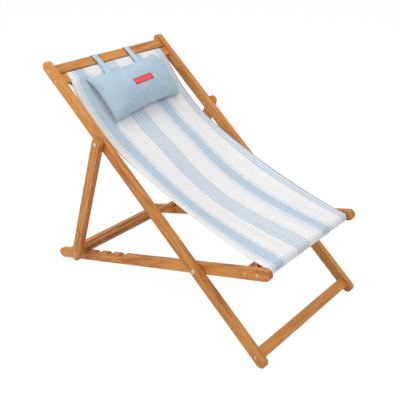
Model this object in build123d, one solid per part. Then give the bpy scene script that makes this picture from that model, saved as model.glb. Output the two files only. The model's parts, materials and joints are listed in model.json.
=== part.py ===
"""Reclining beach chair: two crossed wooden frames, a notched prop, a cloth sling and a head pillow.

Units are millimetres. +Z is up, +Y runs to the rear, and the sitter faces -Y.
The origin lies on the ground, below the middle of the chair.
"""
import os
from math import acos, atan2, cos, degrees, hypot, radians, sin, sqrt, tan

from build123d import *

# Timber stock
WIDTH = 570              # over the outer faces of the back rails
RAIL_W = 38              # side rails and prop struts, seen from the side
RAIL_T = 22              # their thickness, across the chair
RAIL_EASE = 2.5          # rounding of their long edges
SLAT_W = 37
SLAT_T = 18
SLAT_EASE = 4            # rounding of the slats' long edges
SIDE_GAP = 2             # room for a washer between neighbouring rails
FOOT_FLAT = 1.5          # depth of the flats sawn on the four feet

# Back frame, along its rails. UP and DOWN are measured from the seat pivot
BACK_UP = 878
BACK_DOWN = 372
TOP_SLAT_FROM_END = 40
UPPER_BAR_PITCH = 42     # upper sling bar below the top slat
FOOT_SLAT_FROM_END = 41
PROP_PIVOT_AT = 529      # up the back from the seat pivot

# Seat frame, along its rails. REAR and FRONT are measured from the seat pivot
SEAT_REAR = 766
SEAT_FRONT = 286
FRONT_BAR_FROM_END = 45
FRONT_SLAT_PITCH = 47    # front slat behind the front sling bar
REAR_SLAT_FROM_END = 40

# Notches in the top edge of the seat rails
NOTCH_FROM_END = 172.5   # rearmost notch, from the rear end
NOTCH_PITCH = 70.5
NOTCH_COUNT = 4
NOTCH_DEPTH = 7.5
NOTCH_RAMP = 25          # slope of the lead-in towards the front, in degrees
NOTCH_GAP = 0.4          # room round the crossbar

# Prop frame
PROP_LENGTH = 513        # prop pivot to the crossbar's screws
PROP_TOP_END = 23        # strut beyond its pivot
PROP_LOW_END = 31        # strut beyond the screws
PROP_BAR_W = 32
PROP_BAR_T = 20

# Steel fasteners
BOLT_R = 3
BOLT_HEAD_R = 8
BOLT_HEAD_H = 4.5
BOLT_HEAD_DOME = 3.5
NUT_R = 5.8              # over the corners
NUT_H = 5
WASHER_R = 9
SCREW_R = 2
SCREW_GRIP = 30          # length of screw in the end grain
SCREW_HEAD_R = 5
SCREW_HEAD_H = 1.6       # low enough to pass between the rails as the chair folds
SCREW_HEAD_DOME = 1.2
SHANK_FIT = 0.05         # shank in its bore
SCREW_HOLE_FIT = 0.2     # screw through a rail
PIVOT_PLAY = 0.2         # end play at each pivot

# Sling cloth
CLOTH_T = 1.2
SLEEVE_GAP = 0.3         # sleeve round its bar
SLING_SIDE_GAP = 4       # sling to the inner face of each seat rail
SLING_CROSS_AT = 435     # where the cloth passes through the plane of the back rails
SEAT_SAG = 18            # sag of the seat's edges, below a line from the front bar to that place
SEAT_BELLY = 27          # how much lower the middle of the seat hangs
SLING_STATIONS = (-1, 0, 1)   # slices across the sling, in half widths

# Head pillow
PILLOW_L = 350           # across the chair
PILLOW_H = 187
PILLOW_CROWN = 76
PILLOW_SEAM = 9          # thickness at the seams
PILLOW_DROP = 60         # pillow's upper edge below the middle of the top slat
PILLOW_DRAW = 7          # how far the seams pull in between the corners
PILLOW_STATIONS = (-1, -0.88, -0.6, 0, 0.6, 0.88, 1)   # cross-sections, in half lengths
STRAP_W = 35
STRAP_T = 1.2
STRAP_SPACING = 158
SOFT_GAP = 0.3           # soft pieces to what carries them

# Places that follow from these sizes
rail_r = RAIL_W / 2
top_slat_at = BACK_UP - TOP_SLAT_FROM_END
upper_bar_at = top_slat_at - UPPER_BAR_PITCH
foot_slat_at = FOOT_SLAT_FROM_END - BACK_DOWN
front_bar_at = FRONT_BAR_FROM_END - SEAT_FRONT
front_slat_at = front_bar_at + FRONT_SLAT_PITCH
rear_slat_at = SEAT_REAR - REAR_SLAT_FROM_END
notch_at = SEAT_REAR - NOTCH_FROM_END

# Faces of the rails, outwards from the middle of the chair
back_outer = WIDTH / 2
back_inner = back_outer - RAIL_T
seat_outer = back_inner - SIDE_GAP
seat_inner = seat_outer - RAIL_T
strut_inner = back_outer + SIDE_GAP
strut_outer = strut_inner + RAIL_T
sling_half = seat_inner - SLING_SIDE_GAP

# The prop closes a triangle on the seat pivot, the prop pivot and the rearmost notch.
# Its third corner is the middle of the crossbar's lower rounded edge, which rests in the notch.
notch_high = rail_r - NOTCH_DEPTH + PROP_BAR_T / 2
prop_reach = PROP_LENGTH + (PROP_BAR_W - PROP_BAR_T) / 2
notch_reach = hypot(notch_at, notch_high)
apex = (PROP_PIVOT_AT**2 + notch_reach**2 - prop_reach**2) / (2 * PROP_PIVOT_AT * notch_reach)
open_angle = atan2(notch_high, notch_at) + acos(apex)

# Both frames stand on their round feet, which sets how far each one leans
foot_run = BACK_DOWN - rail_r
heel_run = SEAT_REAR - rail_r
back_lean = atan2(heel_run * sin(open_angle), foot_run + heel_run * cos(open_angle))
seat_lean = open_angle - back_lean
pivot_z = foot_run * sin(back_lean) + rail_r - FOOT_FLAT
pivot_y = (foot_run * cos(back_lean) - heel_run * cos(seat_lean)) / 2


def side_plane(y, z, angle):
    """Plane seen from the side: x runs along the angle, y square to it and z across the chair."""
    return Plane(origin=(0, y, z), x_dir=(0, cos(angle), sin(angle)), z_dir=(1, 0, 0))


back = side_plane(pivot_y, pivot_z, back_lean)
seat = side_plane(pivot_y, pivot_z, -seat_lean)
prop_pivot = back.from_local_coords((PROP_PIVOT_AT, 0, 0))
notch_seat = seat.from_local_coords((notch_at, notch_high, 0))
prop_fall = atan2(notch_seat.Z - prop_pivot.Z, notch_seat.Y - prop_pivot.Y)
prop = side_plane(prop_pivot.Y, prop_pivot.Z, prop_fall)
SIDES = {"left": 1, "right": -1}   # as the sitter has them


def across(plane, outline, low, high):
    """Carry a side outline across the chair, between two distances from its middle plane."""
    return extrude(plane.offset(low) * outline, high - low)


def at_side(plane, along, side, distance, piece):
    """Set a fastener, made with its head on +Z, on the face of a rail."""
    turn = Rot(0, 0, 0) if side > 0 else Rot(180, 0, 0)
    return plane * Pos(along, 0, side * distance) * turn * piece


def bore(plane, along, radius):
    """A drill that goes right across the chair."""
    return plane * Pos(along, 0, 0) * Cylinder(radius, 2 * (strut_outer + RAIL_T))


def round_end_rail(plane, start, end, side, inner):
    """A board with full-round ends and eased long edges."""
    outline = Pos((start + end) / 2, 0) * SlotOverall(end - start, RAIL_W)
    low = inner if side > 0 else -inner - RAIL_T
    board = across(plane, outline, low, low + RAIL_T)
    return fillet(board.edges().filter_by(Axis.X, reverse=True), RAIL_EASE)


def saw_foot(board):
    """Saw the round end flat, level with the ground."""
    ground = Pos(0, 0, -RAIL_W) * Box(4 * WIDTH, 4 * BACK_UP, 2 * RAIL_W)
    return board - ground


def slat(plane, along, half_length):
    """A slat between two rails, with screw pilots in its end grain."""
    outline = Pos(along, 0) * RectangleRounded(SLAT_W, SLAT_T, SLAT_EASE)
    return drill_pilots(across(plane, outline, -half_length, half_length), plane, along, half_length)


def drill_pilots(bar, plane, along, half_length):
    """Drill both ends of a bar for one screw each."""
    pilot = Pos(0, 0, -SCREW_GRIP / 2) * Cylinder(SCREW_R + SHANK_FIT, SCREW_GRIP)
    for side in SIDES.values():
        bar -= at_side(plane, along, side, half_length, pilot)
    return bar


def back_rail(side):
    """Long rail from the front foot to the head end."""
    rail = saw_foot(round_end_rail(back, -BACK_DOWN, BACK_UP, side, back_inner))
    for along in (top_slat_at, upper_bar_at, foot_slat_at):
        rail -= bore(back, along, SCREW_R + SCREW_HOLE_FIT)
    for along in (0, PROP_PIVOT_AT):
        rail -= bore(back, along, BOLT_R + SHANK_FIT)
    return rail


def notch_outline(along):
    """Notch that takes the crossbar's edge: a round seat, steep to the rear, with a ramp in front."""
    radius = PROP_BAR_T / 2 + NOTCH_GAP
    slope = radians(NOTCH_RAMP)
    touch = (along - radius * sin(slope), notch_high - radius * cos(slope))
    rise = notch_high + radius - touch[1]
    lead_in = Polygon(
        (along, notch_high),
        (along, notch_high + radius),
        (touch[0] - rise / tan(slope), touch[1] + rise),
        touch,
        align=None,
    )
    return Pos(along, notch_high) * Circle(radius) + lead_in


def seat_rail(side):
    """Rail from the front edge of the seat to the rear foot, with the prop's notches."""
    rail = saw_foot(round_end_rail(seat, -SEAT_FRONT, SEAT_REAR, side, seat_inner))
    for number in range(NOTCH_COUNT):
        rail -= across(seat, notch_outline(notch_at - number * NOTCH_PITCH), -seat_outer, seat_outer)
    for along in (front_bar_at, front_slat_at, rear_slat_at):
        rail -= bore(seat, along, SCREW_R + SCREW_HOLE_FIT)
    return rail - bore(seat, 0, BOLT_R + SHANK_FIT)


def prop_strut(side):
    """Strut that hangs from the back rail and carries the crossbar."""
    strut = round_end_rail(prop, -PROP_TOP_END, PROP_LENGTH + PROP_LOW_END, side, strut_inner)
    strut -= bore(prop, 0, BOLT_R + SHANK_FIT)
    return strut - bore(prop, PROP_LENGTH, SCREW_R + SCREW_HOLE_FIT)


def prop_crossbar():
    """Bar with fully rounded edges that drops into a pair of notches."""
    outline = Pos(PROP_LENGTH, 0) * SlotOverall(PROP_BAR_W, PROP_BAR_T)
    return drill_pilots(across(prop, outline, -strut_inner, strut_inner), prop, PROP_LENGTH, strut_inner)


def domed_head(radius, height, dome):
    """Pan head standing on its seat."""
    head = Pos(0, 0, height / 2) * Cylinder(radius, height)
    return fillet(head.edges().group_by(Axis.Z)[-1], dome)


def wood_screw():
    """Pan-head screw through a rail into a slat."""
    length = RAIL_T + SCREW_GRIP
    shank = Pos(0, 0, -length / 2) * Cylinder(SCREW_R, length)
    return domed_head(SCREW_HEAD_R, SCREW_HEAD_H, SCREW_HEAD_DOME) + shank


def screws(plane, places, distance):
    """One screw at each end of each slat."""
    spots = [(along, side) for along in places for side in SIDES.values()]
    return [at_side(plane, along, side, distance, wood_screw()) for along, side in spots]


def pivot_bolts(plane, distance):
    """Domed bolts through a pair of rails, from the outside, with a nut on the inside."""
    length = 2 * RAIL_T + SIDE_GAP + PIVOT_PLAY + NUT_H
    shank = Pos(0, 0, -length / 2) * Cylinder(BOLT_R, length)
    bolt = domed_head(BOLT_HEAD_R, BOLT_HEAD_H, BOLT_HEAD_DOME) + shank
    return [at_side(plane, 0, side, distance, bolt) for side in SIDES.values()]


def pivot_washers(plane, distance):
    """Washers that keep the rails of a pivot apart, set on the inner face of the outer rail."""
    thick = SIDE_GAP - PIVOT_PLAY
    washer = Pos(0, 0, -thick / 2) * (Cylinder(WASHER_R, thick) - Cylinder(BOLT_R + SHANK_FIT, thick))
    return [at_side(plane, 0, side, distance - RAIL_T, washer) for side in SIDES.values()]


def pivot_nuts(plane, distance):
    """Nuts on the inner face of the inner rail."""
    inset = 2 * RAIL_T + SIDE_GAP + PIVOT_PLAY
    outline = RegularPolygon(NUT_R, 6) - Circle(BOLT_R + SHANK_FIT)
    nut = Pos(0, 0, -inset - NUT_H) * extrude(outline, NUT_H)
    return [at_side(plane, 0, side, distance, nut) for side in SIDES.values()]


# A cloth lies this high on a slat, and leaves it where the slat's rounded edge begins
cloth_mid = SLAT_T / 2 + SLEEVE_GAP + CLOTH_T / 2
slat_flat = SLAT_W / 2 - SLAT_EASE
world = side_plane(0, 0, 0)


def seen_from_side(plane, along, high):
    """A place on one of the frames, as it lies in the side view."""
    point = plane.from_local_coords((along, high, 0))
    return point.Y, point.Z


def seat_arc(sag):
    """The seat part of the cloth from the side, hanging below a line from the front bar to the back rails."""
    front = seen_from_side(seat, front_bar_at - slat_flat, cloth_mid)
    cross = seen_from_side(back, SLING_CROSS_AT, 0)
    run = hypot(cross[0] - front[0], cross[1] - front[1])
    low = (
        (front[0] + cross[0]) / 2 + sag * (cross[1] - front[1]) / run,
        (front[1] + cross[1]) / 2 - sag * (cross[0] - front[0]) / run,
    )
    return ThreePointArc(front, low, cross)


def back_arc():
    """The back part of the cloth from the side, which goes on from the seat's edges to the upper bar."""
    edge = seat_arc(SEAT_SAG)
    top = seen_from_side(back, upper_bar_at - slat_flat, cloth_mid)
    return TangentArc(edge @ 1, top, tangent=edge % 1)


def upward(curve, share):
    """Normal of a side curve at a share of its length."""
    slope = curve % share
    return Vector(-slope.Y, slope.X)


def cloth_face(seat_curve, back_curve, lift):
    """One face of the cloth from the side: both arcs, moved along their normals."""
    start = seat_curve @ 0 + upward(seat_curve, 0) * lift
    joint = seat_curve @ 1 + (upward(seat_curve, 1) + upward(back_curve, 0)).normalized() * lift
    end = back_curve @ 1 + upward(back_curve, 1) * lift
    seat_middle, back_middle = (curve @ 0.5 + upward(curve, 0.5) * lift for curve in (seat_curve, back_curve))
    return [ThreePointArc(start, seat_middle, joint), ThreePointArc(joint, back_middle, end)]


def cloth_slice(station):
    """Slice of the hanging cloth along the chair. The seat is deepest in the middle."""
    curves = seat_arc(SEAT_SAG + SEAT_BELLY * (1 - station**2)), back_arc()
    over, under = cloth_face(*curves, CLOTH_T / 2), cloth_face(*curves, -CLOTH_T / 2)
    ends = [Line(under[0] @ 0, over[0] @ 0), Line(over[1] @ 1, under[1] @ 1)]
    return world.offset(station * sling_half) * make_face(Curve() + over + under + ends)


def cloth_loop(thick):
    """Cloth sewn to a loop round a slat, seen from the end."""
    inside = 2 * SLEEVE_GAP
    outside = inside + 2 * thick
    loop = RectangleRounded(SLAT_W + outside, SLAT_T + outside, SLAT_EASE + outside / 2)
    return loop - RectangleRounded(SLAT_W + inside, SLAT_T + inside, SLAT_EASE + inside / 2)


def sling():
    """One cloth that hangs from the upper bar to the front bar, with a sleeve at each end."""
    cloth = loft([cloth_slice(station) for station in SLING_STATIONS])
    for plane, along in ((back, upper_bar_at), (seat, front_bar_at)):
        cloth += across(plane, Pos(along, 0) * cloth_loop(CLOTH_T), -sling_half, sling_half)
    return cloth


# The pillow lies on the back curve of the sling
pillow_middle_at = top_slat_at - PILLOW_DROP - PILLOW_H / 2
back_curve = back_arc()
curve_share = (pillow_middle_at - SLING_CROSS_AT) / (upper_bar_at - slat_flat - SLING_CROSS_AT)
pillow_spot = back_curve @ curve_share
pillow_slope = back_curve % curve_share
pillow_angle = atan2(pillow_slope.Y, pillow_slope.X)
pillow_lift = CLOTH_T / 2 + SOFT_GAP
pillow_plane = side_plane(
    pillow_spot.X - pillow_lift * sin(pillow_angle),
    pillow_spot.Y + pillow_lift * cos(pillow_angle),
    pillow_angle,
)
under_radius = back_curve.radius - pillow_lift


def pillow_half(station):
    """Half height of the pillow, which is largest at the corners."""
    return PILLOW_H / 2 - PILLOW_DRAW * (1 - station**2)


def under_rise(half):
    """How far the sling curves up at a distance from the middle of the pillow."""
    return under_radius - sqrt(under_radius**2 - half**2)


def pillow_section(station):
    """Slice of the pillow: its underside follows the sling, and its top is crowned."""
    half = pillow_half(station)
    edge = under_rise(half)
    crown = PILLOW_SEAM + (PILLOW_CROWN - PILLOW_SEAM) * sqrt(1 - station**4)
    outline = [
        ThreePointArc((-half, edge), (0, 0), (half, edge)),
        Line((half, edge), (half, edge + PILLOW_SEAM)),
        ThreePointArc((half, edge + PILLOW_SEAM), (0, crown), (-half, edge + PILLOW_SEAM)),
        Line((-half, edge + PILLOW_SEAM), (-half, edge)),
    ]
    return pillow_plane.offset(station * PILLOW_L / 2) * make_face(Curve() + outline)


def pillow():
    """Stuffed head pillow with drawn-in ends."""
    body = loft([pillow_section(station) for station in PILLOW_STATIONS])
    draw_radius = (PILLOW_H**2 / 4 + PILLOW_DRAW**2) / (2 * PILLOW_DRAW)
    upright = Plane(origin=pillow_plane.origin, x_dir=(1, 0, 0), z_dir=pillow_plane.y_dir)
    scoop = Cylinder(draw_radius, 4 * PILLOW_CROWN)
    for side in SIDES.values():
        body -= upright * Pos(side * (PILLOW_L / 2 - PILLOW_DRAW + draw_radius), 0, 0) * scoop
    return body


def pillow_strap(side):
    """Webbing loop round the top slat, with a tail down to the pillow's upper seam."""
    station = (STRAP_SPACING + STRAP_W) / PILLOW_L
    half = pillow_half(station)
    seam = pillow_plane.from_local_coords((half + SOFT_GAP, under_rise(half) + PILLOW_SEAM / 2, 0))
    end = back.to_local_coords(seam)
    start = (top_slat_at - slat_flat, SLAT_T / 2 + SLEEVE_GAP + STRAP_T / 2)
    over_sleeve = (upper_bar_at + slat_flat, cloth_mid + (CLOTH_T + STRAP_T) / 2 + SOFT_GAP)
    tail = Polyline(start, over_sleeve, (end.X, end.Y))
    webbing = Pos(top_slat_at, 0) * cloth_loop(STRAP_T) + trace(tail, STRAP_T)
    middle = side * STRAP_SPACING / 2
    return across(back, webbing, middle - STRAP_W / 2, middle + STRAP_W / 2)


pieces = {
    "top_slat": slat(back, top_slat_at, back_inner),
    "upper_sling_bar": slat(back, upper_bar_at, back_inner),
    "foot_slat": slat(back, foot_slat_at, back_inner),
    "front_slat": slat(seat, front_slat_at, seat_inner),
    "front_sling_bar": slat(seat, front_bar_at, seat_inner),
    "rear_slat": slat(seat, rear_slat_at, seat_inner),
    "prop_crossbar": prop_crossbar(),
    "seat_pivot_bolts": pivot_bolts(back, back_outer),
    "seat_pivot_washers": pivot_washers(back, back_outer),
    "seat_pivot_nuts": pivot_nuts(back, back_outer),
    "prop_pivot_bolts": pivot_bolts(prop, strut_outer),
    "prop_pivot_washers": pivot_washers(prop, strut_outer),
    "prop_pivot_nuts": pivot_nuts(prop, strut_outer),
    "back_frame_screws": screws(back, (top_slat_at, upper_bar_at, foot_slat_at), back_outer),
    "seat_frame_screws": screws(seat, (front_bar_at, front_slat_at, rear_slat_at), seat_outer),
    "prop_screws": screws(prop, (PROP_LENGTH,), strut_outer),
    "sling": sling(),
    "pillow": pillow(),
}
for side_name, side_sign in SIDES.items():
    pieces[f"back_rail_{side_name}"] = back_rail(side_sign)
    pieces[f"seat_rail_{side_name}"] = seat_rail(side_sign)
    pieces[f"prop_strut_{side_name}"] = prop_strut(side_sign)
    pieces[f"pillow_strap_{side_name}"] = pillow_strap(side_sign)

os.makedirs("parts", exist_ok=True)
for name, piece in pieces.items():
    solids = Compound(children=piece) if isinstance(piece, list) else piece
    export_step(solids, f"parts/{name}.step")

print(f"seat pivot at y {pivot_y:.2f}, z {pivot_z:.2f}")
print(f"prop pivot at y {prop_pivot.Y:.2f}, z {prop_pivot.Z:.2f}")
print(f"back leans {degrees(back_lean):.2f}, seat falls {degrees(seat_lean):.2f}")
print(f"prop falls {degrees(prop_fall):.2f}")
print(f"sling, bar to bar {seat_arc(SEAT_SAG).length + back_curve.length:.1f} along its edges")
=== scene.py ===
"""Looks of a reclining beach chair: oiled hardwood, steel fasteners, a striped sling and a head pillow."""
import json
import math

import bmesh
import bpy
import numpy as np
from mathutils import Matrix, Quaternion, Vector


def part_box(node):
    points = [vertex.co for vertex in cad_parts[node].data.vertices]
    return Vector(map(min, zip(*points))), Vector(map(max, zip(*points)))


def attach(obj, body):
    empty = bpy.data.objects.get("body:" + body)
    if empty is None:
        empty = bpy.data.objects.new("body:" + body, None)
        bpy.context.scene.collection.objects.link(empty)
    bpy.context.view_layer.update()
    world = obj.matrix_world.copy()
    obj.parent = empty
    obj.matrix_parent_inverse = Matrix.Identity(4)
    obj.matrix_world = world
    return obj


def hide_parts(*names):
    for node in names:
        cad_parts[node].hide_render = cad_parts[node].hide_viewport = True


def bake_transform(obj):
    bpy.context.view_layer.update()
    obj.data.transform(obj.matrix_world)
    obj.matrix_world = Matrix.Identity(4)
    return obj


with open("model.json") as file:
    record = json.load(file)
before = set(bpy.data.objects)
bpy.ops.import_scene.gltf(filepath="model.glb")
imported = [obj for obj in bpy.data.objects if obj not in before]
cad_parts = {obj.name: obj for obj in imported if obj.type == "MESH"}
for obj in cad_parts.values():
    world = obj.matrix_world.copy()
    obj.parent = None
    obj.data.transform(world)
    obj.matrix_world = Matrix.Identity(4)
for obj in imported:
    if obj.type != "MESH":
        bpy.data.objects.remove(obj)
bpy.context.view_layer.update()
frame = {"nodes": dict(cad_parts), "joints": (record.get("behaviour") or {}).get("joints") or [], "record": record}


# Side rails and prop struts.
# Hardwood boards with round ends and eased edges, sanded and oiled.
# The grain runs along each board, and the open pores show as short dark dashes.
WOOD_PALE = (0.71, 0.305, 0.071)
WOOD_TAN = (0.62, 0.248, 0.051)
WOOD_BROWN = (0.40, 0.125, 0.023)
WOOD_PORE = (0.22, 0.070, 0.015)
GRAIN_STRETCH, FIBRE_STRETCH, PATCH_STRETCH = 14, 45, 4     # length of a streak over its width
GRAIN_SCALE, FIBRE_SCALE, PORE_SCALE, PATCH_SCALE = 120, 1000, 1300, 9     # how fine each is across
GRAIN_WANDER = 0.6          # how far the bands stray from straight
FIBRE_DARK, FIBRE_PALE, FIBRE_RAISE = 0.86, 1.10, 0.5       # shades, and height beside a pore's depth
PATCH_LEAST, PATCH_MOST = 0.05, 0.75        # share of the pale colour
PORE_SHARE, END_GRAIN_SHARE = 0.45, 0.8     # how strongly a pore and a cut end darken the wood
WOOD_ROUGH, WOOD_POLISHED, WOOD_SPECULAR = 0.56, 0.42, 0.35
RELIEF_STRENGTH, RELIEF_DEPTH = 0.35, 0.0004
NODES = frame["nodes"]
JOINTS = {joint["name"]: joint for joint in frame["joints"]}


def new_surface(name):
    """A material with an empty node tree, apart from its output and one Principled shader."""
    material = bpy.data.materials.new(name)
    material.use_nodes = True
    tree = material.node_tree
    tree.nodes.clear()
    output = tree.nodes.new("ShaderNodeOutputMaterial")
    shader = tree.nodes.new("ShaderNodeBsdfPrincipled")
    tree.links.new(shader.outputs["BSDF"], output.inputs["Surface"])
    return material, tree, shader


def feed(tree, socket, value):
    """Link a socket to another one, or set its value."""
    if isinstance(value, bpy.types.NodeSocket):
        tree.links.new(value, socket)
    else:
        socket.default_value = value


def add(tree, kind, values=None, **settings):
    """Add a node, set its options and feed its inputs."""
    node = tree.nodes.new("ShaderNode" + kind)
    for option, choice in settings.items():
        setattr(node, option, choice)
    for key, value in (values or {}).items():
        feed(tree, node.inputs[key], value)
    return node


def math_node(tree, operation, first, second=0.0, third=0.0):
    """One arithmetic step between sockets or numbers."""
    return add(tree, "Math", {0: first, 1: second, 2: third}, operation=operation).outputs[0]


def noise(tree, vector, scale, detail=4.0, distortion=0.0):
    """Grey noise, about 0.5."""
    values = {"Vector": vector, "Scale": scale, "Detail": detail, "Distortion": distortion}
    return add(tree, "TexNoise", values).outputs["Fac"]


def smooth_step(tree, value, low, high, to_low=0.0, to_high=1.0):
    """Carry a value from one range to another with a soft start and end."""
    values = {"Value": value, "From Min": low, "From Max": high, "To Min": to_low, "To Max": to_high}
    return add(tree, "MapRange", values, interpolation_type="SMOOTHSTEP").outputs["Result"]


def mix_colour(tree, share, first, second, blend="MIX"):
    """Mix two colours, each a socket or three numbers."""
    node = tree.nodes.new("ShaderNodeMix")
    node.data_type = "RGBA"
    node.blend_type = blend
    colour = [socket for socket in node.inputs if socket.type == "RGBA"]
    feed(tree, node.inputs[0], share)
    for socket, value in zip(colour, (first, second)):
        feed(tree, socket, value if isinstance(value, bpy.types.NodeSocket) else (*value, 1.0))
    return next(socket for socket in node.outputs if socket.type == "RGBA")


def tint(tree, colour, shade):
    """Multiply a colour by a grey."""
    grey = add(tree, "CombineColor", {0: shade, 1: shade, 2: shade}).outputs[0]
    return mix_colour(tree, 1.0, colour, grey, "MULTIPLY")


def oiled_wood(name, turn, along):
    """Wood whose grain follows axis number along, once the place is turned back by an angle about X.

    Noise lies between about 0.3 and 0.7, and each range inside that picks out its streaks.
    """
    material, tree, shader = new_surface(name)
    coordinates = tree.nodes.new("ShaderNodeTexCoord")
    place = coordinates.outputs["Object"]

    def stretched(factor):
        scale = [1.0, 1.0, 1.0]
        scale[along] = factor
        values = {"Vector": place, "Rotation": (turn, 0, 0), "Scale": scale}
        return add(tree, "Mapping", values, vector_type="TEXTURE").outputs["Vector"]

    bands = noise(tree, stretched(GRAIN_STRETCH), GRAIN_SCALE, 5, GRAIN_WANDER)
    fibres = noise(tree, stretched(FIBRE_STRETCH), FIBRE_SCALE, 3)
    pores = smooth_step(tree, noise(tree, stretched(GRAIN_STRETCH), PORE_SCALE, 2), 0.60, 0.70)
    patches = noise(tree, stretched(PATCH_STRETCH), PATCH_SCALE, 2)

    colour = mix_colour(tree, smooth_step(tree, bands, 0.36, 0.60), WOOD_BROWN, WOOD_TAN)
    pale = smooth_step(tree, patches, 0.36, 0.66, PATCH_LEAST, PATCH_MOST)
    colour = mix_colour(tree, pale, colour, WOOD_PALE)
    colour = tint(tree, colour, smooth_step(tree, fibres, 0.3, 0.7, FIBRE_DARK, FIBRE_PALE))
    colour = mix_colour(tree, math_node(tree, "MULTIPLY", pores, PORE_SHARE), colour, WOOD_PORE)

    values = {"Vector": coordinates.outputs["Normal"], "Rotation": (turn, 0, 0)}
    facing = add(tree, "Mapping", values, vector_type="TEXTURE")
    end_on = add(tree, "SeparateXYZ", {0: facing.outputs[0]}).outputs[along]
    end_grain = smooth_step(tree, math_node(tree, "ABSOLUTE", end_on), 0.55, 1.0, 0.0, END_GRAIN_SHARE)
    colour = mix_colour(tree, end_grain, colour, WOOD_BROWN)

    feed(tree, shader.inputs["Base Color"], colour)
    feed(tree, shader.inputs["Roughness"], smooth_step(tree, bands, 0.3, 0.7, WOOD_ROUGH, WOOD_POLISHED))
    shader.inputs["Specular IOR Level"].default_value = WOOD_SPECULAR
    relief = math_node(tree, "SUBTRACT", math_node(tree, "MULTIPLY", fibres, FIBRE_RAISE), pores)
    bump = add(tree, "Bump", {"Height": relief, "Strength": RELIEF_STRENGTH, "Distance": RELIEF_DEPTH})
    feed(tree, shader.inputs["Normal"], bump.outputs["Normal"])
    return material


def finish_nodes(material, *names):
    """Give CAD nodes one material in place of their own."""
    for name in names:
        slots = NODES[name].data.materials
        slots.clear()
        slots.append(material)


def side_view(point):
    """The y and z of a place."""
    return np.array(point[1:], float)


def middle(node):
    """The y and z of the middle of a CAD node."""
    low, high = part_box(node)
    return (side_view(low) + side_view(high)) / 2


def unit(vector):
    """The vector at length 1."""
    return vector / np.linalg.norm(vector)


def angle_of(direction):
    """Angle of a side-view direction above the horizontal, in radians."""
    return math.atan2(direction[1], direction[0])


seat_pivot = side_view(JOINTS["fold"]["pos_m"])
prop_pivot = side_view(JOINTS["prop_swing"]["pos_m"])
up_back = unit(prop_pivot - seat_pivot)
along_seat = unit(middle("rear_slat") - middle("front_sling_bar"))
down_prop = unit(middle("prop_crossbar") - prop_pivot)
ALONG_X, ALONG_Y = 0, 1
for board, way in (("back_rail", up_back), ("seat_rail", along_seat), ("prop_strut", down_prop)):
    board_wood = oiled_wood(board + "_wood", angle_of(way), ALONG_Y)
    finish_nodes(board_wood, board + "_left", board + "_right")


# Slats, sling bars and the prop's crossbar.
# The same oiled hardwood, planed thinner, with the grain across the chair.
# Each is held by one screw through the rail at either end.
slat_wood = oiled_wood("slat_wood", 0.0, ALONG_X)
finish_nodes(slat_wood, "top_slat", "upper_sling_bar", "foot_slat")
finish_nodes(slat_wood, "front_slat", "front_sling_bar", "rear_slat", "prop_crossbar")


# Bolts, washers, nuts and screws.
# Zinc-plated steel, dulled by handling. The bolts are the pivots, and the screws hold the slats.
# Screws have a cross recess, and the bolts' domes a six-sided one.
ZINC = (0.62, 0.555, 0.475)
ZINC_DULL = (0.45, 0.40, 0.34)
SCREW_HEAD_R, SCREW_HEAD_H, SCREW_EASE, SCREW_R, SCREW_LENGTH = 0.005, 0.0016, 0.0012, 0.002, 0.052
CROSS_R, CROSS_NARROW, CROSS_SHARP, CROSS_DEEP = 0.0028, 0.3, 8, 0.0011
BOLT_HEAD_R, BOLT_HEAD_H, BOLT_EASE, BOLT_R = 0.008, 0.0045, 0.0035, 0.003
RAIL_T, WASHER_T, BOLT_END = 0.022, 0.0022, 0.005
BOLT_LENGTH = 2 * RAIL_T + WASHER_T + BOLT_END      # through two boards and a washer, into the nut
HEX_R, HEX_DEEP = 0.0025, 0.0024
RECESS_EDGE = 0.12          # width of a recess's sloping edge, over the head's radius
HEAD_RINGS, RIM_RINGS, HEAD_SPOKES = 26, 7, 48
WELD = 1e-6                 # points closer than this become one
BLOTCH_SCALE, ZINC_SMOOTH, ZINC_ROUGH = 700, 0.42, 0.58


def zinc_plate(name):
    """Plated steel with faint blotches."""
    material, tree, shader = new_surface(name)
    place = tree.nodes.new("ShaderNodeTexCoord").outputs["Object"]
    blotch = noise(tree, place, BLOTCH_SCALE, 3)
    colour = mix_colour(tree, smooth_step(tree, blotch, 0.4, 0.7), ZINC, ZINC_DULL)
    feed(tree, shader.inputs["Base Color"], colour)
    feed(tree, shader.inputs["Roughness"], smooth_step(tree, blotch, 0.3, 0.7, ZINC_SMOOTH, ZINC_ROUGH))
    shader.inputs["Metallic"].default_value = 1.0
    return material


def cross_reach(angle):
    """How far a cross recess reaches at an angle: full along its four arms, and little between them."""
    return CROSS_R * (CROSS_NARROW + (1 - CROSS_NARROW) * np.abs(np.cos(2 * angle)) ** CROSS_SHARP)


def hex_reach(angle):
    """How far a six-sided recess reaches at an angle: the distance to the flat that faces it."""
    return HEX_R / np.cos((angle + math.pi / 6) % (math.pi / 3) - math.pi / 6)


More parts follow.
